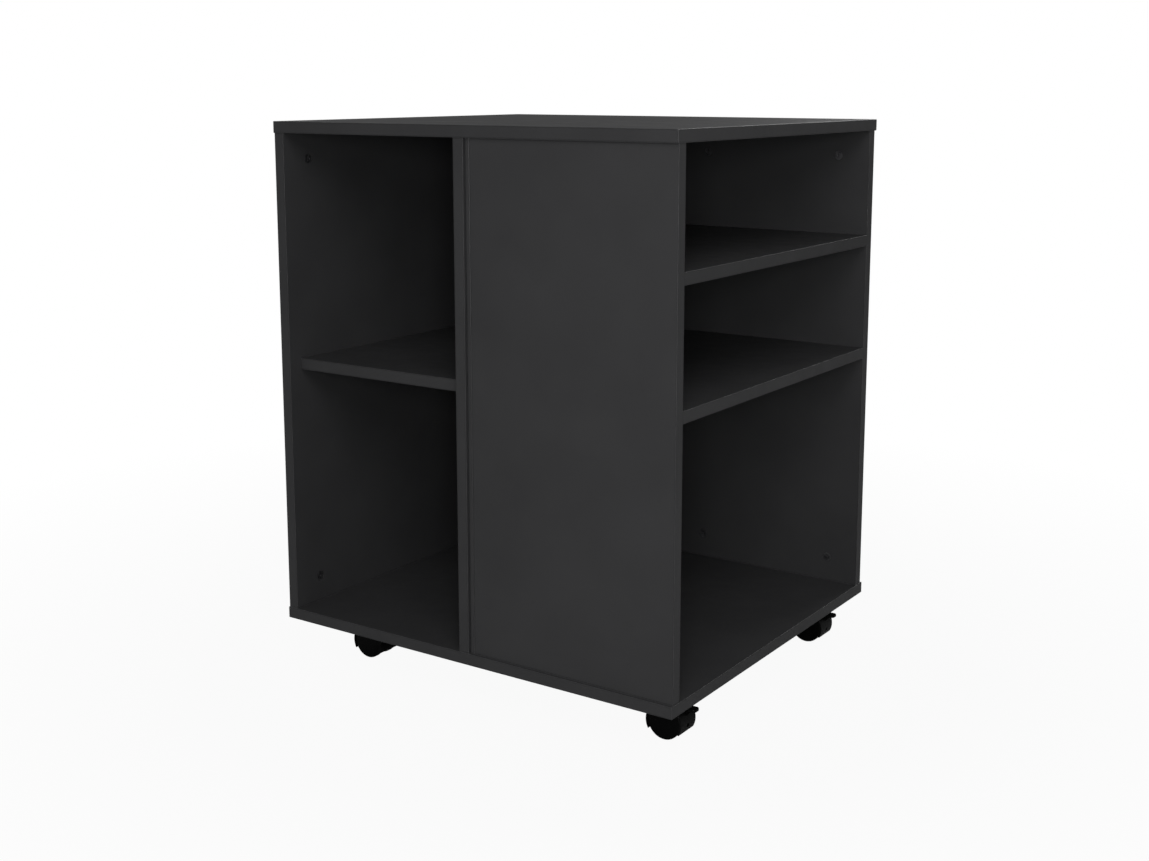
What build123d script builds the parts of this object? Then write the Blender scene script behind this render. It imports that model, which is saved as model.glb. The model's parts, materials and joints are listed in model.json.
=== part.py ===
from build123d import *
import os
from math import cos, radians, sin

# Mobile printer stand: a flat-pack carcass of 15 mm melamine-faced chipboard on
# four twin-wheel swivel casters. Units are millimetres. The origin is on the
# floor under the middle of the stand, +Z is up, the front faces -Y and the side
# with the three open compartments faces +X.

os.makedirs("parts", exist_ok=True)

# ---------------------------------------------------------------- carcass sizes
overall_width = 600.0
overall_depth = 530.0
overall_height = 720.0
board = 15.0  # thickness of every board
board_edge_radius = 0.8  # softened edges of the top and the bottom board
upright_edge_radius = 0.6
edge_inset = 1.0  # uprights stand this far inside the top and bottom boards
panel_inset = 4.0  # the front and rear panels stand this far inside them
divider_x = 0.0  # middle of the central divider
panel_gap = 1.0  # open joint between the divider and the front panel
lipping_width = 6.0  # solid lipping glued to that edge of the front panel
lipping_chamfer = 0.8  # leaves a fine V on the face where it is glued

top_opening = 140.0  # right side, upper compartment
middle_opening = 140.0  # right side, middle compartment
left_shelf_setback = 20.0
left_shelf_play = 0.5  # the left shelf is loose on its pins

# ------------------------------------------------------------ connecting fittings
cam_radius = 6.0
cam_play = 0.1
cam_sunk = 0.3  # the cam's face sits this far below the board's face
cam_below_axis = 4.5  # the cam reaches this far past the bolt's axis
cam_distance = 34.0  # from the board's end to the middle of the cam
cam_from_edge = 45.0  # from a board's long edge to its first cam
cam_slot_width = 7.6
cam_cross_length = 6.4
cam_cross_width = 1.4
cam_cross_depth = 2.2

bolt_thread_radius = 3.0
bolt_thread_length = 10.5
bolt_collar_radius = 3.8
bolt_collar_length = 3.0
bolt_shank_radius = 2.4
bolt_head_radius = 3.5
bolt_head_length = 5.0
bolt_bore_radius = 4.0

dowel_radius = 4.0
dowel_length = 30.0
dowel_depth = 20.0  # in the end of the joining board, the rest in the face board
dowel_play = 0.1
dowel_spacing = 32.0  # from a cam to the dowel beside it

shelf_pin_radius = 2.5
shelf_pin_length = 16.0
shelf_pin_depth = 8.0
shelf_pin_from_edge = 50.0

# -------------------------------------------------------------------- caster sizes
wheel_radius = 22.0
wheel_gap = 17.2  # between the two wheels of a caster
wheel_width = 8.7
wheel_dome = 0.9  # the outer face falls back this far towards the tread
wheel_face_flat = 10.0  # radius of the flat middle of the outer face
wheel_rim = 3.4
wheel_wall = 2.4
wheel_hub_radius = 6.0
wheel_edge_radius = 1.4
wheel_to_web = 0.6  # side play between a wheel's hub and the hood's web
wheel_to_hood = 0.8

hood_wall = 1.5
hood_overlap = 0.5  # the hood is this much wider than the wheels, each side
hood_skirt_angle = 30.0  # the hood's skirt ends this far below the axle's level
hood_web = 7.0
web_start = 62.0  # the web fills the hood between these angles about the axle
web_end = 205.0
hood_hub_radius = 7.0
hood_boss_radius = 7.5
hood_boss_foot = 10.0  # height of the boss's lower end above the floor
hood_neck_radius = 10.0
hood_neck_flange = 2.0
neck_height = 6.7  # from the top of the hood to the underside of the plate
swivel_gap = 0.4
caster_trail = 24.0  # from the swivel axis to the axle

axle_radius = 3.0
axle_end_play = 0.2
running_play = 0.05  # radial clearance of every pivot
press_play = 0.01  # radial clearance of pins that are pressed in

plate_size = 42.0
plate_thickness = 2.0
plate_corner_radius = 4.0
plate_hole_spacing = 32.0
plate_hole_radius = 2.4
plate_edge_radius = 0.4

kingpin_radius = 4.0
kingpin_length = 40.0
kingpin_chamfer = 0.6

screw_radius = 2.0
screw_length = 13.0
screw_head_radius = 3.8
screw_head_height = 2.2
screw_slot_width = 1.0
screw_slot_depth = 1.1
pilot_play = 0.05

caster_inset_x = 67.5  # swivel axis to the side edge of the bottom board
caster_inset_y = 72.0

# --------------------------------------------------------------- brake lever sizes
lever_pivot_angle = 59.0  # degrees from level, about the axle
lever_pin_radius = 1.5
lever_ear_radius = 4.0
lever_ear_play = 1.3  # between the lever's eye and the inside of the hood
lever_blade_width = 4.4  # the blade runs in a slot of the hood
lever_blade_play = 0.3
lever_tongue_start = 35.0  # the tongue closes the slot, degrees about the axle
lever_tongue_end = -4.0
lever_slot_low = -15.0  # the slot is longer than the tongue, to let it swing
lever_slot_high = 60.0
lever_root_angle = 20.0  # where the blade's underside leaves the hood
lever_overhang = 12.2  # the pedal's tip stands this far out of the hood
pedal_width = 13.0
pedal_length = 11.5
pedal_thickness = 3.2
pedal_tip_radius = 4.5
pedal_root_radius = 2.0
pedal_edge_radius = 0.5
pedal_ribs = 3  # grip ribs across the pedal
pedal_rib_pitch = 2.4
pedal_rib_width = 1.0
pedal_rib_height = 0.5
lever_lobe_radius = 4.5  # the two cheeks that hold the lever's pin
lever_lobe_width = 11.0
lever_lobe_play = 0.7

# --------------------------------------------------------------------- levels etc.
hood_inner_radius = wheel_radius + wheel_to_hood
hood_outer_radius = hood_inner_radius + hood_wall
hood_half_width = wheel_gap / 2 + wheel_width + hood_overlap
caster_height = wheel_radius + hood_outer_radius + neck_height + plate_thickness
lever_pivot_radius = hood_inner_radius - lever_ear_radius - lever_ear_play
lever_pivot_x = lever_pivot_radius * cos(radians(lever_pivot_angle))  # from the axle
lever_pivot_z = lever_pivot_radius * sin(radians(lever_pivot_angle))
lever_top = lever_pivot_z + lever_ear_radius
lever_reach = hood_outer_radius + lever_overhang

bottom_board_top = caster_height + board
top_board_bottom = overall_height - board
upright_height = top_board_bottom - bottom_board_top
upper_shelf_level = top_board_bottom - top_opening - board
lower_shelf_level = upper_shelf_level - middle_opening - board

side_face = overall_width / 2 - edge_inset
front_face = overall_depth / 2 - edge_inset
panel_face = overall_depth / 2 - panel_inset
panel_inner = panel_face - board
divider_right = divider_x + board / 2
divider_left = divider_x - board / 2
side_board_inner = -side_face + board
front_panel_left = divider_right + panel_gap

# ----------------------------------------------------------- places of the fittings
# A fitting's plane has its origin where the joining board's end meets the face
# board. Local +Z runs into the joining board, local +X to the face with the cam.


def fitting_planes(ends, facing, inward, run_min, run_max, run_axis):
    """The cam planes and the dowel planes of one board end."""
    cams = []
    dowels = []
    for edge, step in ((run_min, 1), (run_max, -1)):
        cam_at = edge + step * cam_from_edge
        dowel_at = cam_at + step * dowel_spacing
        cams.append(Plane(ends + run_axis * cam_at, x_dir=facing, z_dir=inward))
        dowels.append(Plane(ends + run_axis * dowel_at, x_dir=facing, z_dir=inward))
    return cams, dowels


along_x = Vector(1, 0, 0)
along_y = Vector(0, 1, 0)
along_z = Vector(0, 0, 1)

# name: (x from, x to, y from, y to, direction that the cams face)
uprights = {
    "left_side_board": (-side_face, side_board_inner, -front_face, front_face, along_x),
    "centre_divider": (divider_left, divider_right, -front_face, front_face, -along_x),
    "front_panel": (front_panel_left + lipping_width, side_face, -panel_face, -panel_inner, along_y),
    "rear_right_panel": (divider_right, side_face, panel_inner, panel_face, -along_y),
    "rear_left_panel": (side_board_inner, divider_left, panel_inner, panel_face, -along_y),
}

cams_of = {}
dowels_of = {}
for name, (x_min, x_max, y_min, y_max, facing) in uprights.items():
    middle = Vector((x_min + x_max) / 2, (y_min + y_max) / 2, 0)
    if abs(facing.X) > 0:
        run_axis, run_min, run_max = along_y, y_min, y_max
        middle.Y = 0
    else:
        run_axis, run_min, run_max = along_x, x_min, x_max
        middle.X = 0
    cams_of[name] = []
    dowels_of[name] = []
    for level, inward in ((bottom_board_top, along_z), (top_board_bottom, -along_z)):
        ends = middle + along_z * level
        cams, dowels = fitting_planes(ends, facing, inward, run_min, run_max, run_axis)
        cams_of[name] += cams
        dowels_of[name] += dowels

fixed_shelves = {"right_upper_shelf": upper_shelf_level, "right_lower_shelf": lower_shelf_level}
for name, level in fixed_shelves.items():
    cams_of[name] = []
    dowels_of[name] = []
    for side in (-1, 1):
        ends = Vector(0, side * panel_inner, level + board / 2)
        inward = -along_y * side
        cams, dowels = fitting_planes(ends, -along_z, inward, divider_right, side_face, along_x)
        cams_of[name] += cams
        dowels_of[name] += dowels

all_cams = [plane for planes in cams_of.values() for plane in planes]
all_dowels = [plane for planes in dowels_of.values() for plane in planes]


def drill_board_ends(name):
    """Bores and cam pockets in a board that butts against others. Used inside a part."""
    pocket = board / 2 + cam_below_axis + cam_play
    with Locations(*cams_of[name]):
        Cylinder(
            bolt_bore_radius,
            cam_distance,
            align=(Align.CENTER, Align.CENTER, Align.MIN),
            mode=Mode.SUBTRACT,
        )
        with Locations((board / 2 - pocket / 2, 0, cam_distance)):
            Cylinder(cam_radius + cam_play, pocket, rotation=(0, 90, 0), mode=Mode.SUBTRACT)
    with Locations(*dowels_of[name]):
        Cylinder(
            dowel_radius + dowel_play,
            dowel_depth + dowel_play,
            align=(Align.CENTER, Align.CENTER, Align.MIN),
            mode=Mode.SUBTRACT,
        )


def drill_board_face(bolts, dowels):
    """Blind holes in the face of the board that others butt against. Used inside a part."""
    with Locations(*bolts):
        Cylinder(
            bolt_thread_radius + press_play,
            bolt_thread_length + press_play,
            align=(Align.CENTER, Align.CENTER, Align.MAX),
            mode=Mode.SUBTRACT,
        )
    with Locations(*dowels):
        Cylinder(
            dowel_radius + dowel_play,
            dowel_length - dowel_depth + dowel_play,
            align=(Align.CENTER, Align.CENTER, Align.MAX),
            mode=Mode.SUBTRACT,
        )


def at_level(planes, level):
    return [plane for plane in planes if abs(plane.origin.Z - level) < board / 4]


def at_side(planes, y):
    return [plane for plane in planes if abs(plane.origin.Y - y) < board / 4]


shelf_cams = cams_of["right_upper_shelf"] + cams_of["right_lower_shelf"]
shelf_dowels = dowels_of["right_upper_shelf"] + dowels_of["right_lower_shelf"]


def save(part, name):
    part.label = name
    export_step(part, f"parts/{name}.step")


# -------------------------------------------------------------- casters' positions
# The casters all trail towards +X at rest. Local caster frame: origin at the axle's
# middle, x along the trail, z up.
swivel_x = overall_width / 2 - caster_inset_x
swivel_y = overall_depth / 2 - caster_inset_y
corners = {
    "front_left": (-swivel_x, -swivel_y, False),
    "front_right": (swivel_x, -swivel_y, True),
    "rear_left": (-swivel_x, swivel_y, False),
    "rear_right": (swivel_x, swivel_y, True),
}
screw_offset = plate_hole_spacing / 2
screw_points = [
    (x + dx * screw_offset, y + dy * screw_offset)
    for x, y, braked in corners.values()
    for dx in (-1, 1)
    for dy in (-1, 1)
]

# ------------------------------------------------------------------- top and bottom
with BuildPart() as top_board:
    with BuildSketch(Plane.XY.offset(top_board_bottom)):
        Rectangle(overall_width, overall_depth)
    extrude(amount=board)
    fillet(top_board.edges(), board_edge_radius)
    drill_board_face(at_level(all_cams, top_board_bottom), at_level(all_dowels, top_board_bottom))
save(top_board.part, "top_board")

with BuildPart() as bottom_board:
    with BuildSketch(Plane.XY.offset(caster_height)):
        Rectangle(overall_width, overall_depth)
    extrude(amount=board)
    fillet(bottom_board.edges(), board_edge_radius)
    drill_board_face(at_level(all_cams, bottom_board_top), at_level(all_dowels, bottom_board_top))
    with BuildSketch(Plane.XY.offset(caster_height)):
        with Locations(*screw_points):
            Circle(screw_radius + pilot_play)
    extrude(amount=screw_length - plate_thickness, mode=Mode.SUBTRACT)
save(bottom_board.part, "bottom_board")

# ------------------------------------------------------------------ upright boards
shelf_pin_level = lower_shelf_level - shelf_pin_radius
left_shelf_front = -front_face + left_shelf_setback
left_shelf_back = panel_inner - left_shelf_play
shelf_pin_rows = (left_shelf_front + shelf_pin_from_edge, left_shelf_back - shelf_pin_from_edge)
shelf_pin_planes = []
for y in shelf_pin_rows:
    shelf_pin_planes.append(Plane((side_board_inner, y, shelf_pin_level), z_dir=along_x))
    shelf_pin_planes.append(Plane((divider_left, y, shelf_pin_level), z_dir=-along_x))

for name, (x_min, x_max, y_min, y_max, facing) in uprights.items():
    with BuildPart() as upright:
        with BuildSketch(Plane.XY.offset(bottom_board_top)):
            with Locations(((x_min + x_max) / 2, (y_min + y_max) / 2)):
                Rectangle(x_max - x_min, y_max - y_min)
        extrude(amount=upright_height)
        vertical = upright.edges().filter_by(Axis.Z)
        if name == "front_panel":
            fillet(vertical.sort_by(Axis.X)[2:], upright_edge_radius)
            chamfer(vertical.sort_by(Axis.X)[:2].sort_by(Axis.Y)[0], lipping_chamfer)
        elif name != "rear_left_panel":
            fillet(vertical, upright_edge_radius)
        drill_board_ends(name)
        if name == "front_panel":
            drill_board_face(at_side(shelf_cams, -panel_inner), at_side(shelf_dowels, -panel_inner))
        elif name == "rear_right_panel":
            drill_board_face(at_side(shelf_cams, panel_inner), at_side(shelf_dowels, panel_inner))
        elif name in ("left_side_board", "centre_divider"):
            wall = side_board_inner if name == "left_side_board" else divider_left
            pin_planes = [plane for plane in shelf_pin_planes if abs(plane.origin.X - wall) < 1]
            with Locations(*pin_planes):
                Cylinder(
                    shelf_pin_radius + press_play,
                    shelf_pin_depth,
                    align=(Align.CENTER, Align.CENTER, Align.MAX),
                    mode=Mode.SUBTRACT,
                )
    save(upright.part, name)

with BuildPart() as front_panel_lipping:
    with BuildSketch(Plane.XY.offset(bottom_board_top)):
        with Locations((front_panel_left + lipping_width / 2, -(panel_face + panel_inner) / 2)):
            Rectangle(lipping_width, board)
    extrude(amount=upright_height)
    vertical = front_panel_lipping.edges().filter_by(Axis.Z)
    front_edges = vertical.sort_by(Axis.Y)[:2].sort_by(Axis.X)
    chamfer(front_edges[1], lipping_chamfer)
    fillet(front_panel_lipping.edges().filter_by(Axis.Z).sort_by(Axis.X)[:2], upright_edge_radius)
save(front_panel_lipping.part, "front_panel_lipping")

# -------------------------------------------------------------------------- shelves
for name, level in fixed_shelves.items():
    with BuildPart() as fixed_shelf:
        with BuildSketch(Plane.XY.offset(level)):
            with Locations(((divider_right + side_face) / 2, 0)):
                Rectangle(side_face - divider_right, 2 * panel_inner)
        extrude(amount=board)
        fillet(fixed_shelf.edges().filter_by(Axis.Y).sort_by(Axis.X)[2:], upright_edge_radius)
        drill_board_ends(name)
    save(fixed_shelf.part, name)

with BuildPart() as left_shelf:
    left_shelf_width = divider_left - side_board_inner - 2 * left_shelf_play
    left_shelf_depth = left_shelf_back - left_shelf_front
    with BuildSketch(Plane.XY.offset(lower_shelf_level)):
        with Locations(
            ((divider_left + side_board_inner) / 2, (left_shelf_back + left_shelf_front) / 2)
        ):
            Rectangle(left_shelf_width, left_shelf_depth)
    extrude(amount=board)
    fillet(left_shelf.edges().filter_by(Axis.X), upright_edge_radius)
save(left_shelf.part, "left_shelf")

# ----------------------------------------------------------------------- fasteners
cam_height = board / 2 + cam_below_axis - cam_sunk
with BuildPart() as cam_lock:
    with BuildSketch(Plane.YZ.offset(board / 2 - cam_sunk)):
        with Locations((0, cam_distance)):
            Circle(cam_radius)
    extrude(amount=-cam_height)
    # the claw that holds the bolt's head, open towards the board's end
    with Locations((0, 0, cam_distance + bolt_head_length / 2)):
        Box(
            cam_slot_width,
            cam_slot_width,
            cam_radius + bolt_head_length,
            align=(Align.CENTER, Align.CENTER, Align.MAX),
            mode=Mode.SUBTRACT,
        )
    # cross recess for the screwdriver
    with BuildSketch(Plane.YZ.offset(board / 2 - cam_sunk)):
        with Locations((0, cam_distance)):
            Rectangle(cam_cross_length, cam_cross_width)
            Rectangle(cam_cross_width, cam_cross_length)
    extrude(amount=-cam_cross_depth, mode=Mode.SUBTRACT)

with BuildPart() as cam_locks:
    with Locations(*all_cams):
        add(cam_lock.part)
save(cam_locks.part, "cam_locks")

bolt_reach = cam_distance - bolt_head_length / 2
with BuildPart() as cam_bolt:
    with BuildSketch(Plane.XZ):
        with BuildLine():
            Polyline(
                (0, -bolt_thread_length),
                (bolt_thread_radius - 0.8, -bolt_thread_length),
                (bolt_thread_radius, -bolt_thread_length + 1.5),
                (bolt_thread_radius, 0),
                (bolt_collar_radius, 0),
                (bolt_collar_radius, bolt_collar_length),
                (bolt_shank_radius, bolt_collar_length + 1.5),
                (bolt_shank_radius, bolt_reach),
                (bolt_head_radius, bolt_reach + 0.8),
                (bolt_head_radius, bolt_reach + bolt_head_length - 1.2),
                (bolt_head_radius - 1.2, bolt_reach + bolt_head_length - 0.4),
                (0, bolt_reach + bolt_head_length - 0.4),
                close=True,
            )
        make_face()
    revolve(axis=Axis.Z)

with BuildPart() as cam_bolts:
    with Locations(*all_cams):
        add(cam_bolt.part)
save(cam_bolts.part, "cam_bolts")

with BuildPart() as wooden_dowels:
    with Locations(*all_dowels):
        with Locations((0, 0, dowel_depth)):
            Cylinder(
                dowel_radius, dowel_length, align=(Align.CENTER, Align.CENTER, Align.MAX)
            )
    chamfer(wooden_dowels.edges().filter_by(GeomType.CIRCLE), 1.0)
save(wooden_dowels.part, "wooden_dowels")

with BuildPart() as shelf_pins:
    with Locations(*shelf_pin_planes):
        with Locations((0, 0, -shelf_pin_depth)):
            Cylinder(
                shelf_pin_radius, shelf_pin_length, align=(Align.CENTER, Align.CENTER, Align.MIN)
            )
    chamfer(shelf_pins.edges().filter_by(GeomType.CIRCLE), 0.5)
save(shelf_pins.part, "shelf_pins")

plate_underside = caster_height - plate_thickness
with BuildPart() as caster_screw:
    with BuildSketch(Plane.XZ):
        with BuildLine():
            Polyline(
                (0, -screw_head_height),
                (screw_head_radius - 1.4, -screw_head_height),
                (screw_head_radius, -screw_head_height + 1.2),
                (screw_head_radius, 0),
                (screw_radius, 0),
                (screw_radius, screw_length - 2.5),
                (0, screw_length - 0.3),
                close=True,
            )
        make_face()
    revolve(axis=Axis.Z)
    with BuildSketch(Plane.XY.offset(-screw_head_height)):
        Rectangle(screw_head_radius + 0.6, screw_slot_width)
        Rectangle(screw_slot_width, screw_head_radius + 0.6)
    extrude(amount=screw_slot_depth, mode=Mode.SUBTRACT)

with BuildPart() as caster_screws:
    with Locations(*[(x, y, plate_underside) for x, y in screw_points]):
        add(caster_screw.part)
save(caster_screws.part, "caster_screws")


# ------------------------------------------------------------------------- casters
def polar(radius, angle):
    return (radius * cos(radians(angle)), radius * sin(radians(angle)))


def sector(inner, outer, low, high):
    """A ring sector about the axle, from one angle to the other."""
    with BuildSketch() as ring:
        with BuildLine():
            CenterArc((0, 0), outer, low, high - low)
            Line(polar(outer, high), polar(inner, high))
            CenterArc((0, 0), inner, low, high - low)
            Line(polar(inner, low), polar(outer, low))
        make_face()
    return ring.sketch


def caster_plate(x, y):
    with BuildPart() as plate:
        with BuildSketch(Plane.XY.offset(plate_underside)):
            with Locations((x, y)):
                RectangleRounded(plate_size, plate_size, plate_corner_radius)
                Circle(kingpin_radius + press_play, mode=Mode.SUBTRACT)
                with GridLocations(plate_hole_spacing, plate_hole_spacing, 2, 2):
                    Circle(plate_hole_radius, mode=Mode.SUBTRACT)
        extrude(amount=plate_thickness)
        rim = plate.faces().sort_by(Axis.Z)[0].outer_wire().edges()
        fillet(rim, plate_edge_radius)
    return plate.part


def caster_kingpin(x, y):
    with BuildPart() as kingpin:
        with BuildSketch(Plane.XY.offset(caster_height)):
            with Locations((x, y)):
                Circle(kingpin_radius)
        extrude(amount=-kingpin_length)
        chamfer(kingpin.edges().sort_by(Axis.Z)[0], kingpin_chamfer)
    return kingpin.part


def caster_hood(axle_x, y, braked):
    axle_middle = Plane((axle_x, y, wheel_radius), x_dir=along_x, z_dir=-along_y)
    boss_x = axle_x - caster_trail
    with BuildPart() as hood:
        with BuildSketch(axle_middle):
            add(sector(hood_inner_radius, hood_outer_radius, -hood_skirt_angle, 180 + hood_skirt_angle))
        extrude(amount=hood_half_width, both=True)
        rims = hood.edges().filter_by(GeomType.CIRCLE).group_by(SortBy.RADIUS)[-1]
        fillet(rims, hood_wall / 3)
        # web between the wheels, with the hub that grips the axle
        with BuildSketch(axle_middle):
            add(sector(hood_hub_radius / 2, hood_inner_radius + hood_wall / 2, web_start, web_end))
            Circle(hood_hub_radius)
        extrude(amount=hood_web / 2, both=True)
        if braked:
            with BuildSketch(axle_middle):
                with Locations((lever_pivot_x, lever_pivot_z)):
                    Circle(lever_lobe_radius)
            extrude(amount=lever_lobe_width / 2, both=True)
        # boss and neck that turn on the kingpin
        with BuildSketch(Plane.XY.offset(hood_boss_foot)):
            with Locations((boss_x, y)):
                Circle(hood_boss_radius)
        extrude(amount=plate_underside - swivel_gap - hood_boss_foot)
        with BuildSketch(Plane.XY.offset(plate_underside - swivel_gap)):
            with Locations((boss_x, y)):
                Circle(hood_neck_radius)
        extrude(amount=-hood_neck_flange)
        # bores
        with BuildSketch(Plane.XY.offset(caster_height)):
            with Locations((boss_x, y)):
                Circle(kingpin_radius + running_play)
        extrude(amount=-kingpin_length - swivel_gap, mode=Mode.SUBTRACT)
        with BuildSketch(axle_middle):
            Circle(axle_radius + press_play)
            if braked:
                with Locations((lever_pivot_x, lever_pivot_z)):
                    Circle(lever_pin_radius + press_play)
        extrude(amount=lever_lobe_width, both=True, mode=Mode.SUBTRACT)
        if braked:
            with BuildSketch(axle_middle):
                add(
                    sector(
                        hood_inner_radius - hood_wall,
                        hood_outer_radius + hood_wall,
                        lever_slot_low,
                        lever_slot_high,
                    )
                )
                with Locations((lever_pivot_x, lever_pivot_z)):
                    Circle(lever_ear_radius + lever_lobe_play)
            extrude(
                amount=lever_blade_width / 2 + lever_blade_play, both=True, mode=Mode.SUBTRACT
            )
    return hood.part


axle_half_length = hood_half_width - hood_overlap - wheel_wall - axle_end_play


def caster_axle(axle_x, y):
    with BuildPart() as axle:
        with BuildSketch(Plane((axle_x, y, wheel_radius), z_dir=along_y)):
            Circle(axle_radius)
        extrude(amount=axle_half_length, both=True)
    return axle.part


def caster_wheel(axle_x, y, side):
    """One wheel: a cup with a closed, crowned outer face. side is -1 (front) or 1."""
    # sketch x is the distance from the axle's line, sketch y the distance outwards
    outwards = Plane((axle_x, y, wheel_radius), x_dir=along_x, z_dir=along_z * side)
    inner = wheel_gap / 2
    outer = inner + wheel_width
    hub_start = hood_web / 2 + wheel_to_web
    with BuildPart() as wheel:
        with BuildSketch(outwards) as profile:
            with BuildLine():
                Polyline(
                    (0, outer),
                    (0, axle_half_length + axle_end_play),
                    (axle_radius + running_play, axle_half_length + axle_end_play),
                    (axle_radius + running_play, hub_start),
                    (wheel_hub_radius, hub_start),
                    (wheel_hub_radius, outer - wheel_wall),
                    (wheel_radius - wheel_rim, outer - wheel_wall - wheel_dome),
                    (wheel_radius - wheel_rim, inner),
                    (wheel_radius, inner),
                    (wheel_radius, outer - wheel_dome),
                )
                Line((0, outer), (wheel_face_flat, outer))
                TangentArc(
                    (wheel_face_flat, outer), (wheel_radius, outer - wheel_dome), tangent=(1, 0)
                )
            make_face()
            fillet(profile.vertices().group_by(Axis.X)[-1], wheel_edge_radius)
        revolve(axis=Axis((axle_x, y, wheel_radius), along_y))
    return wheel.part


def brake_lever(axle_x, y):
    """A blade that turns on the pin, and a ribbed pedal across its outer end."""
    axle_middle = Plane((axle_x, y, wheel_radius), x_dir=along_x, z_dir=-along_y)
    pedal_top = wheel_radius + lever_top
    pedal_middle = axle_x + lever_reach - pedal_length / 2
    blade_end = lever_reach - pedal_length / 2
    with BuildPart() as lever:
        with BuildSketch(Plane.XY.offset(pedal_top - pedal_thickness)) as pedal:
            with Locations((pedal_middle, y)):
                Rectangle(pedal_length, pedal_width)
            fillet(pedal.vertices().group_by(Axis.X)[-1], pedal_tip_radius)
            fillet(pedal.vertices().group_by(Axis.X)[0], pedal_root_radius)
        extrude(amount=pedal_thickness)
        fillet(lever.edges().group_by(Axis.Z)[-1], pedal_edge_radius)
        fillet(lever.edges().group_by(Axis.Z)[0], pedal_edge_radius)
        with BuildSketch(Plane.XY.offset(pedal_top)):
            with Locations((pedal_middle, y)):
                with GridLocations(pedal_rib_pitch, 0, pedal_ribs, 1):
                    Rectangle(pedal_rib_width, pedal_width - 2 * pedal_root_radius)
        extrude(amount=pedal_rib_height)
        with BuildSketch(axle_middle):
            with BuildLine():
                Polyline(
                    (lever_pivot_x, lever_top),
                    (blade_end, lever_top),
                    (blade_end, lever_top - pedal_thickness),
                    polar(hood_outer_radius, lever_root_angle),
                    polar(hood_inner_radius - hood_wall, lever_root_angle),
                    (lever_pivot_x, lever_pivot_z - lever_ear_radius / 2),
                    close=True,
                )
            make_face()
            add(sector(hood_inner_radius, hood_outer_radius, lever_tongue_end, lever_tongue_start))
            with Locations((lever_pivot_x, lever_pivot_z)):
                Circle(lever_ear_radius)
        extrude(amount=lever_blade_width / 2, both=True)
        with BuildSketch(axle_middle):
            with Locations((lever_pivot_x, lever_pivot_z)):
                Circle(lever_pin_radius + running_play)
        extrude(amount=lever_blade_width, both=True, mode=Mode.SUBTRACT)
    return lever.part


def brake_pin(axle_x, y):
    centre = (axle_x + lever_pivot_x, y, wheel_radius + lever_pivot_z)
    with BuildPart() as pin:
        with BuildSketch(Plane(centre, z_dir=along_y)):
            Circle(lever_pin_radius)
        extrude(amount=lever_lobe_width / 2, both=True)
    return pin.part


for corner, (x, y, braked) in corners.items():
    axle_x = x + caster_trail
    save(caster_plate(x, y), f"{corner}_caster_plate")
    save(caster_kingpin(x, y), f"{corner}_caster_kingpin")
    save(caster_hood(axle_x, y, braked), f"{corner}_caster_hood")
    save(caster_axle(axle_x, y), f"{corner}_caster_axle")
    save(caster_wheel(axle_x, y, -1), f"{corner}_caster_wheel_a")
    save(caster_wheel(axle_x, y, 1), f"{corner}_caster_wheel_b")
    if braked:
        save(brake_lever(axle_x, y), f"{corner}_brake_lever")
        save(brake_pin(axle_x, y), f"{corner}_brake_pin")
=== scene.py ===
# %% [markdown]
# # A mobile printer stand, finished in Blender
#
# The stand is a flat-pack cabinet: ten black boards held by cam fittings and dowels, on
# four twin-wheel casters. Its shape, sizes and joints come from a CAD model, which this script
# loads as a fixed frame. The lesson is about finishes. The whole object is black, so what tells
# board from nylon from steel is how each surface scatters light, and not its colour.

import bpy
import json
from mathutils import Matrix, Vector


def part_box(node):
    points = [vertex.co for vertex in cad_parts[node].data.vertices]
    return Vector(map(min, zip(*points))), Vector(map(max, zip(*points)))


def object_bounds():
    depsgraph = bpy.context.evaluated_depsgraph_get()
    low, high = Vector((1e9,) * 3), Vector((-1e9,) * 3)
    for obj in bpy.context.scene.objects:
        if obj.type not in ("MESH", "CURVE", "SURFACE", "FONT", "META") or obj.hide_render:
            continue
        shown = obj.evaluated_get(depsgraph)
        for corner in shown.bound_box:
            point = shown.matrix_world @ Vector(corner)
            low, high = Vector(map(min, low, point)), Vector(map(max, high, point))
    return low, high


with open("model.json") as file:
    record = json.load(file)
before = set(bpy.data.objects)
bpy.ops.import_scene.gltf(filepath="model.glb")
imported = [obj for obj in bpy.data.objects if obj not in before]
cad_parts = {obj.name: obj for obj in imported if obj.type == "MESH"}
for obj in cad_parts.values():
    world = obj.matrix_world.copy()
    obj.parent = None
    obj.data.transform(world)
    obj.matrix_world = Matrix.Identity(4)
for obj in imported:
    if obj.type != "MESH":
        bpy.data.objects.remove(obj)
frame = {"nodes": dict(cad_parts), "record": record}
cad_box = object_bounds()

# %% [markdown]
# ## Units and colours
#
# The frame is in metres, while a furniture maker thinks in millimetres, so one constant turns
# one into the other. Colours are written as the hex values of a colour chart. Those are
# display values, and shaders work in linear light, so one function converts them.

# %% Millimetres and colours
import json
import math

import bpy
from mathutils import Vector

MM = 0.001


def linear(hex_colour):
    """The linear RGBA of an sRGB hex value such as "#1f1f20"."""
    channels = [int(hex_colour[i:i + 2], 16) / 255 for i in (1, 3, 5)]
    bent = [c / 12.92 if c <= 0.04045 else ((c + 0.055) / 1.055) ** 2.4 for c in channels]
    return (*bent, 1.0)


print("the black board reflects", round(linear("#363637")[0], 3), "of the light, a white one 0.8")

# %% [markdown]
# ## Building a material from nodes
#
# A material is a small network. One helper is enough: it adds a node, applies its settings,
# and for each input either links another node's output or sets a value. The shader itself is
# always the Principled one, which follows how real surfaces behave.

# %% The node helper


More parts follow.
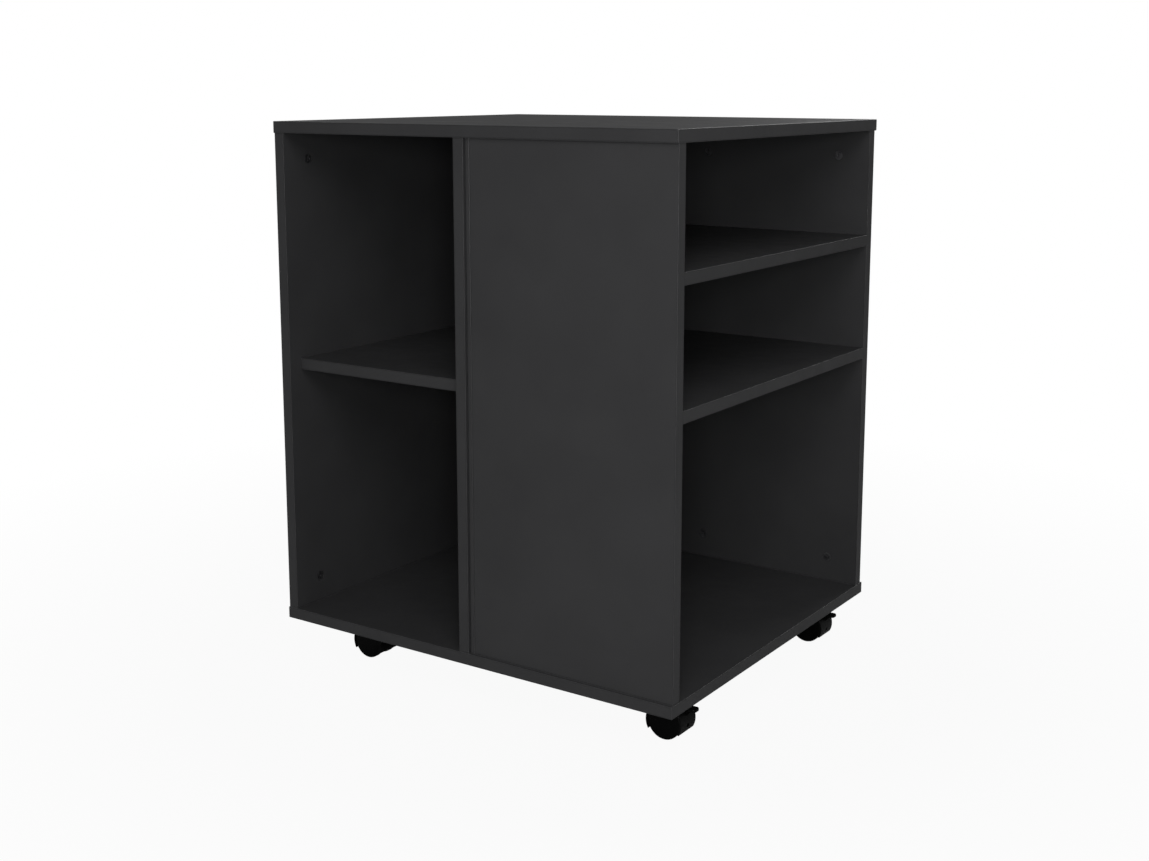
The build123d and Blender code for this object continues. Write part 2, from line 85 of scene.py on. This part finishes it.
def add(tree, kind, settings=None, inputs=None):
    """Adds a node to a tree. An input that is given as a socket is linked, and else it is set."""
    node = tree.nodes.new(kind)
    for name, value in (settings or {}).items():
        setattr(node, name, value)
    for key, value in (inputs or {}).items():
        if isinstance(value, bpy.types.NodeSocket):
            tree.links.new(value, node.inputs[key])
        else:
            node.inputs[key].default_value = value
    return node


def start_material(name, ior=None, specular=0.5):
    """A new material with its tree and its Principled shader. Without an IOR it is a metal."""
    material = bpy.data.materials.new(name)
    material.use_nodes = True
    tree = material.node_tree
    shader = tree.nodes["Principled BSDF"]
    if ior is None:
        shader.inputs["Metallic"].default_value = 1.0
    else:
        shader.inputs["IOR"].default_value = ior
        shader.inputs["Specular IOR Level"].default_value = specular
    return material, tree, shader


def connect(tree, shader, colour, roughness, normal):
    """Links the three things that every finish here varies over its surface."""
    tree.links.new(colour, shader.inputs["Base Color"])
    tree.links.new(roughness, shader.inputs["Roughness"])
    tree.links.new(normal, shader.inputs["Normal"])


# %% [markdown]
# Most finishes here need the same three things: a noise whose grains have a real size, a way
# to spread that noise over a range of values, and a bump. Blender's noise makes about one
# grain per unit of its scale, so a grain of `size` metres needs a scale of `1 / size`.

# %% Grain, range and bump


def math_node(tree, operation, first, second=0.0):
    node = add(tree, "ShaderNodeMath", {"operation": operation}, {0: first, 1: second})
    return node.outputs[0]


def vector_math(tree, operation, first, second=(0, 0, 0)):
    node = add(tree, "ShaderNodeVectorMath", {"operation": operation}, {0: first, 1: second})
    return node.outputs[0]


def vector_length(tree, vector):
    node = add(tree, "ShaderNodeVectorMath", {"operation": "LENGTH"}, {0: vector})
    return node.outputs["Value"]


def object_place(tree):
    """The place on the piece, in metres."""
    return add(tree, "ShaderNodeTexCoord").outputs["Object"]


def grain(tree, where, size, detail=2.0, offset=0.0):
    """A noise with grains of about this size, as a value near 0.5."""
    moved = vector_math(tree, "ADD", where, (offset, offset, offset))
    noise = add(tree, "ShaderNodeTexNoise", None, {
        "Vector": moved, "Scale": 1 / size, "Detail": detail})
    return noise.outputs["Fac"]


def spread(tree, value, low, high, start=0.3, end=0.7):
    """Maps a value from start..end to low..high."""
    return add(tree, "ShaderNodeMapRange", None, {
        "Value": value, "From Min": start, "From Max": end, "To Min": low, "To Max": high,
    }).outputs["Result"]


def blend_colours(tree, factor, first, second):
    """The first colour where the factor is 0 and the second where it is 1."""
    mix = add(tree, "ShaderNodeMix", {"data_type": "RGBA"}, {
        "Factor": factor, "A": first, "B": second})
    return mix.outputs["Result"]


def relief(tree, height, depth):
    """A bump of this depth in metres."""
    return add(tree, "ShaderNodeBump", None, {
        "Strength": 1.0, "Distance": depth, "Height": height}).outputs["Normal"]


# %% [markdown]
# ## Where a board's arrises are
#
# A board wears and is trimmed at its arrises, and a painted highlight lies along them, so the
# finish has to know how far away the next one is. The board's own box tells: at any point of the
# surface, the nearest face is the one that it lies on, and the second nearest is the one round
# the corner.

# %% Distance to a board's nearest arris


def arris_distance(tree, where, low, high):
    """The distance in metres to the board's nearest arris."""
    from_middle = vector_math(tree, "SUBTRACT", where, (low + high) / 2)
    folded = vector_math(tree, "ABSOLUTE", from_middle)
    to_faces = vector_math(tree, "SUBTRACT", (high - low) / 2, folded)
    x, y, z = add(tree, "ShaderNodeSeparateXYZ", None, {0: to_faces}).outputs
    nearest = math_node(tree, "MINIMUM", x, math_node(tree, "MINIMUM", y, z))
    farthest = math_node(tree, "MAXIMUM", x, math_node(tree, "MAXIMUM", y, z))
    total = math_node(tree, "ADD", x, math_node(tree, "ADD", y, z))
    return math_node(tree, "SUBTRACT", math_node(tree, "SUBTRACT", total, nearest), farthest)


# %% [markdown]
# ## The boards: black melamine-faced chipboard
#
# Each board is a chipboard core under a sheet of paper soaked in melamine resin, pressed
# against a steel plate with a fine pearl texture. The resin is clear and hard (IOR about 1.5)
# and the plate's texture blurs its reflections, so the face looks black and slightly silky.
# The narrow sides carry an edge band of ABS, ironed on and trimmed, whose joint is a hairline
# close to the arris. Trimming leaves the arris itself a little smoother and lighter, and a painted
# highlight along the arris lightens it further.

# %% Melamine
BLACK_MELAMINE = "#363637"
CLOUDED_MELAMINE = "#3a3a3b"
# the lighter arris colour: partly trimming wear, partly a painted highlight of the rounded arris
ARRIS_WEAR_AND_HIGHLIGHT = "#4c4c4d"
BAND_JOINT = "#0e0e0e"
MELAMINE_SPECULAR = 0.2  # the pearl texture leaves little of the clear resin's reflection
PEARL_GRAIN = 0.9 * MM  # about three times the real pearl, which is too fine for a picture
CLOUD_GRAIN = 90 * MM
HANDLING_GRAIN = 28 * MM
JOINT_FROM_ARRIS = 1.0 * MM  # a band is 0.8 mm thick, and its joint lies just past that
PEARL_DEPTH = 0.05 * MM


def melamine_board(node):
    """Melamine-faced board with an ABS edge band, fitted to one node's box."""
    low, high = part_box(node)
    material, tree, shader = start_material(
        f"melamine_faced_board_{node}", ior=1.5, specular=MELAMINE_SPECULAR)
    where = object_place(tree)
    seed = sum(low) + 0.37 * len(node)  # every board gets its own stretch of noise
    pearl = grain(tree, where, PEARL_GRAIN, offset=seed)
    clouds = grain(tree, where, CLOUD_GRAIN, detail=4.0, offset=seed)
    handling = grain(tree, where, HANDLING_GRAIN, detail=6.0, offset=seed)
    arris = arris_distance(tree, where, low, high)

    # colour: paper printed one black, slightly cloudy, and a little lighter at the arris, partly
    # from trimming wear and partly as a painted highlight
    cloudy = blend_colours(
        tree, spread(tree, clouds, 0.0, 1.0), linear(BLACK_MELAMINE), linear(CLOUDED_MELAMINE))
    trimmed = spread(tree, arris, 1.0, 0.0, start=0.35 * MM, end=0.9 * MM)
    arris_wear_and_highlight = math_node(tree, "MULTIPLY", trimmed, spread(tree, handling, 0.05, 0.4))
    worn_and_highlit = blend_colours(tree, arris_wear_and_highlight, cloudy, linear(ARRIS_WEAR_AND_HIGHLIGHT))
    from_joint = math_node(tree, "ABSOLUTE", math_node(tree, "SUBTRACT", arris, JOINT_FROM_ARRIS))
    joint = spread(tree, from_joint, 1.0, 0.0, start=0.1 * MM, end=0.35 * MM)
    colour = blend_colours(tree, math_node(tree, "MULTIPLY", joint, 0.5), worn_and_highlit, linear(BAND_JOINT))

    # gloss: silky, polished a little where hands and paper slide over it
    silk = spread(tree, handling, 0.50, 0.42)
    textured = math_node(tree, "ADD", silk, spread(tree, pearl, -0.03, 0.03))
    roughness = math_node(tree, "SUBTRACT", textured, math_node(tree, "MULTIPLY", trimmed, 0.08))

    height = math_node(tree, "SUBTRACT", pearl, math_node(tree, "MULTIPLY", joint, 0.6))
    connect(tree, shader, colour, roughness, relief(tree, height, PEARL_DEPTH))
    return material


boards = [
    "top_board", "bottom_board", "left_side_board", "centre_divider", "front_panel",
    "rear_right_panel", "rear_left_panel", "left_shelf", "right_upper_shelf", "right_lower_shelf",
]
finish_of_board = {node: melamine_board(node) for node in boards + ["front_panel_lipping"]}
print("board finishes:", len(finish_of_board))

# %% [markdown]
# ## Moulded nylon: hoods, wheels and brake levers
#
# The casters are injection-moulded polyamide, dyed right through. The mould of the hood is
# spark-eroded, which leaves a fine, even matt grain, while the wheels come from a smoother
# mould and are scuffed by the floor. Nylon's IOR is about 1.53.

# %% Nylon
NYLON_IOR = 1.53
NYLON_SPECULAR = 0.07  # a matt, scratched mould skin reflects far less than the IOR would give
SPARK_GRAIN = 0.5 * MM
FLOW_GRAIN = 9 * MM
SCUFF_GRAIN = 1.6 * MM


def moulded_nylon(name, colour, flow_colour, roughness, grain_depth):
    """Nylon with a fine spark-eroded grain, cloudy where the melt flowed."""
    material, tree, shader = start_material(name, ior=NYLON_IOR, specular=NYLON_SPECULAR)
    where = object_place(tree)
    spark = grain(tree, where, SPARK_GRAIN, detail=3.0)
    flow = grain(tree, where, FLOW_GRAIN, detail=3.0)
    tinted = blend_colours(tree, spread(tree, flow, 0.0, 1.0), linear(colour), linear(flow_colour))
    matt = spread(tree, flow, roughness - 0.05, roughness + 0.05)
    connect(tree, shader, tinted, matt, relief(tree, spark, grain_depth))
    return material


hood_nylon = moulded_nylon("spark_eroded_nylon", "#0c0c0c", "#101010", 0.36, 0.04 * MM)
lever_nylon = moulded_nylon("lever_nylon", "#0b0b0b", "#0f0f0f", 0.32, 0.03 * MM)


def wheel_nylon(node):
    """Smooth nylon whose tread is scuffed and holds a little dust, fitted to one wheel's box."""
    low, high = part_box(node)
    axle = (low + high) / 2
    tread_radius = (high[2] - low[2]) / 2
    material, tree, shader = start_material("wheel_nylon", ior=NYLON_IOR, specular=NYLON_SPECULAR)
    where = object_place(tree)
    flat = vector_math(tree, "MULTIPLY", vector_math(tree, "SUBTRACT", where, axle), (1, 0, 1))
    tread = spread(tree, vector_length(tree, flat), 0.0, 1.0,
                   start=tread_radius - 1.2 * MM, end=tread_radius - 0.2 * MM)
    scuffs = grain(tree, where, SCUFF_GRAIN, detail=6.0)
    dusty = math_node(tree, "MULTIPLY", tread, spread(tree, scuffs, 0.0, 0.55))
    colour = blend_colours(tree, dusty, linear("#070707"), linear("#2a2928"))
    worn_mould = spread(tree, scuffs, 0.26, 0.34)
    roughness = math_node(tree, "ADD", worn_mould, math_node(tree, "MULTIPLY", tread, 0.22))
    connect(tree, shader, colour, roughness, relief(tree, scuffs, 0.03 * MM))
    return material


print("nylon finishes ready:", hood_nylon.name, "and", lever_nylon.name)

# %% [markdown]
# ## Metal: zinc-plated steel and the cam locks
#
# Plates, pins and screws are steel with a thin zinc plating, passivated to a cool grey that
# drifts slightly in hue. The cam locks are die-cast zinc that has dulled to a mid grey. Deep in a
# dark bay they have only dark boards to mirror, so they read as discs close to the board's own
# tone. Metals keep the default IOR, since their colour sets the reflection.

# %% Metals
BLOOM_GRAIN = 4 * MM
PLATING_GRAIN = 0.4 * MM


def plated_metal(name, light, dark, roughness):
    material, tree, shader = start_material(name)
    where = object_place(tree)
    bloom = grain(tree, where, BLOOM_GRAIN, detail=5.0)
    fine = grain(tree, where, PLATING_GRAIN)
    colour = blend_colours(tree, spread(tree, bloom, 0.0, 1.0), linear(dark), linear(light))
    dulled = spread(tree, bloom, roughness - 0.08, roughness + 0.08)
    connect(tree, shader, colour, dulled, relief(tree, fine, 0.01 * MM))
    return material


zinc_steel = plated_metal("zinc_plated_steel", "#c3c6c9", "#9fa3a8", 0.32)
cam_zinc = plated_metal("dulled_zinc", "#828284", "#666669", 0.5)
print("metals ready:", zinc_steel.name, "and", cam_zinc.name)

# %% [markdown]
# ## Beech: the dowels
#
# The dowels are turned beech with a straight grain, which follows the upright ones. They are
# hidden in the joints, and are finished all the same, for a reader who takes the stand apart.

# %% Beech


def beech():
    material, tree, shader = start_material("beech", ior=1.5)
    drawn_out = vector_math(tree, "MULTIPLY", object_place(tree), (1, 1, 0.08))
    rings = grain(tree, drawn_out, 0.9 * MM, detail=4.0)
    late_wood, early_wood = linear("#b98e63"), linear("#d9b489")
    colour = blend_colours(tree, spread(tree, rings, 0.0, 1.0), late_wood, early_wood)
    connect(tree, shader, colour, spread(tree, rings, 0.5, 0.62), relief(tree, rings, 0.05 * MM))
    return material


dowel_beech = beech()
print("wood ready:", dowel_beech.name)

# %% [markdown]
# ## Giving each piece its finish
#
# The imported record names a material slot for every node. Boards and wheels have a finish for
# each piece, because it needs the place of the piece's own arrises or axle. The rest share one
# finish for each slot.

# %% Assign the finishes
finish_of_slot = {
    "nylon_hood": hood_nylon,
    "nylon_lever": lever_nylon,
    "zinc_steel": zinc_steel,
    "cam_zinc": cam_zinc,
    "beech": dowel_beech,
}
for part in frame["record"]["subparts"]:
    node, slot = part["node"], part["material_slot"]
    if node in finish_of_board:
        finish = finish_of_board[node]
    elif slot == "nylon_wheel":
        finish = wheel_nylon(node)
    else:
        finish = finish_of_slot[slot]
    slots = frame["nodes"][node].data.materials
    slots.clear()
    slots.append(finish)
print("finishes:", len(bpy.data.materials))

# %% [markdown]
# ## The studio
#
# A product picture of a black object needs light from everywhere: what the eye reads on a dark
# silky face is mostly the bright room round it. So the room itself is a white world.

# %% World
scene = bpy.context.scene
scene.view_settings.view_transform = "Standard"  # keeps hex colours as they were chosen

ROOM_LIGHT = 0.155  # how strongly the white walls light the object, against how white they look

world = bpy.data.worlds.new("white_room")
scene.world = world
world.use_nodes = True
room = world.node_tree.nodes["Background"]
room.inputs["Color"].default_value = linear("#ffffff")
seen = add(world.node_tree, "ShaderNodeLightPath").outputs["Is Camera Ray"]
strength = spread(world.node_tree, seen, ROOM_LIGHT, 1.0, start=0.0, end=1.0)
world.node_tree.links.new(strength, room.inputs["Strength"])
print("the room gives", ROOM_LIGHT, "of the light that it seems to give")

# %% [markdown]
# The floor looks white but throws back only a part of the light, or the undersides and casters
# would lose their depth. It fades into the white of the world with distance, so no horizon
# crosses the picture.

# %% Floor
FLOOR_COLOUR = "#a8a8a8"
FLOOR_WHITENESS = 0.94  # near the stand, which leaves a little for a contact shadow


def studio_floor(radius=12.0):
    bpy.ops.mesh.primitive_circle_add(vertices=96, radius=radius, fill_type="NGON")
    floor = bpy.context.object
    floor.name = "studio_floor"
    material, tree, shader = start_material("pale_floor", ior=1.4, specular=0.1)
    shader.inputs["Base Color"].default_value = linear(FLOOR_COLOUR)
    shader.inputs["Roughness"].default_value = 0.9
    glow = add(tree, "ShaderNodeEmission", None, {"Color": linear("#ffffff"), "Strength": 1.0})
    seen = add(tree, "ShaderNodeLightPath").outputs["Is Camera Ray"]
    distance = vector_length(tree, object_place(tree))
    whiteness = spread(tree, distance, FLOOR_WHITENESS, 1.0, start=0.5, end=1.4)
    fade = math_node(tree, "MULTIPLY", seen, whiteness)
    surface = add(tree, "ShaderNodeMixShader", None, {
        0: fade, 1: shader.outputs[0], 2: glow.outputs[0]})
    tree.links.new(surface.outputs[0], tree.nodes["Material Output"].inputs["Surface"])
    floor.data.materials.append(material)
    return floor


print("floor:", studio_floor().name)

# %% [markdown]
# A low lamp just behind the camera reaches everything that the camera sees, and a high one gives
# direction. Two weak ones look straight into the bays, and two large ones keep the rear and the
# left side from sinking into black.

# %% Lamps


def soft_lamp(name, place, aim, size, watts):
    """A square area lamp at a place, turned to face the aim."""
    lamp = bpy.data.lights.new(name, "AREA")
    lamp.size = size
    lamp.energy = watts
    holder = bpy.data.objects.new(name, lamp)
    holder.location = place
    holder.rotation_euler = (aim - place).to_track_quat("-Z", "Y").to_euler()
    scene.collection.objects.link(holder)


def round_the_stand(azimuth, elevation, distance):
    """A place round the stand. Azimuth 0 is in front of it and 90 on its open right side."""
    a, e = math.radians(azimuth), math.radians(elevation)
    way = Vector((math.sin(a) * math.cos(e), -math.cos(a) * math.cos(e), math.sin(e)))
    return middle + way * distance


middle = (cad_box[0] + cad_box[1]) / 2
lamps = [  # name, azimuth and elevation in degrees, distance and size in metres, watts
    ("low_lamp", 33.8, 11, 2.25, 0.4, 12.5),
    ("high_lamp", 37, 38, 3.0, 1.6, 28.5),
    ("left_bay_lamp", -3, 5, 3.0, 0.8, 5),
    ("right_bay_lamp", 88, 5, 3.0, 0.8, 7),
    ("rear_lamp", 179, 25, 3.2, 1.6, 28),
    ("rear_left_lamp", 262, 25, 3.2, 1.6, 38),
]
for name, azimuth, elevation, distance, size, watts in lamps:
    soft_lamp(name, round_the_stand(azimuth, elevation, distance), middle, size, watts)
print("lamps:", len(lamps))

# %% [markdown]
# ## The camera
#
# The viewpoint stands in front and to the right, a little above the top board, with a lens of
# about 47 mm. A small vertical shift keeps the uprights nearly parallel, as an architect's
# camera does.

# %% Camera
camera = bpy.data.objects.new("camera", bpy.data.cameras.new("camera"))
camera.data.sensor_width = 36.0
camera.data.lens = 47.35
camera.data.shift_y = -0.0801
camera.location = (1.1163, -1.6668, 0.7687)
azimuth, pitch = math.radians(34.115), math.radians(9.612)
camera.rotation_euler = (math.pi / 2 - pitch, 0.0, azimuth)
scene.collection.objects.link(camera)
scene.camera = camera
print("camera", [round(c, 3) for c in camera.location])
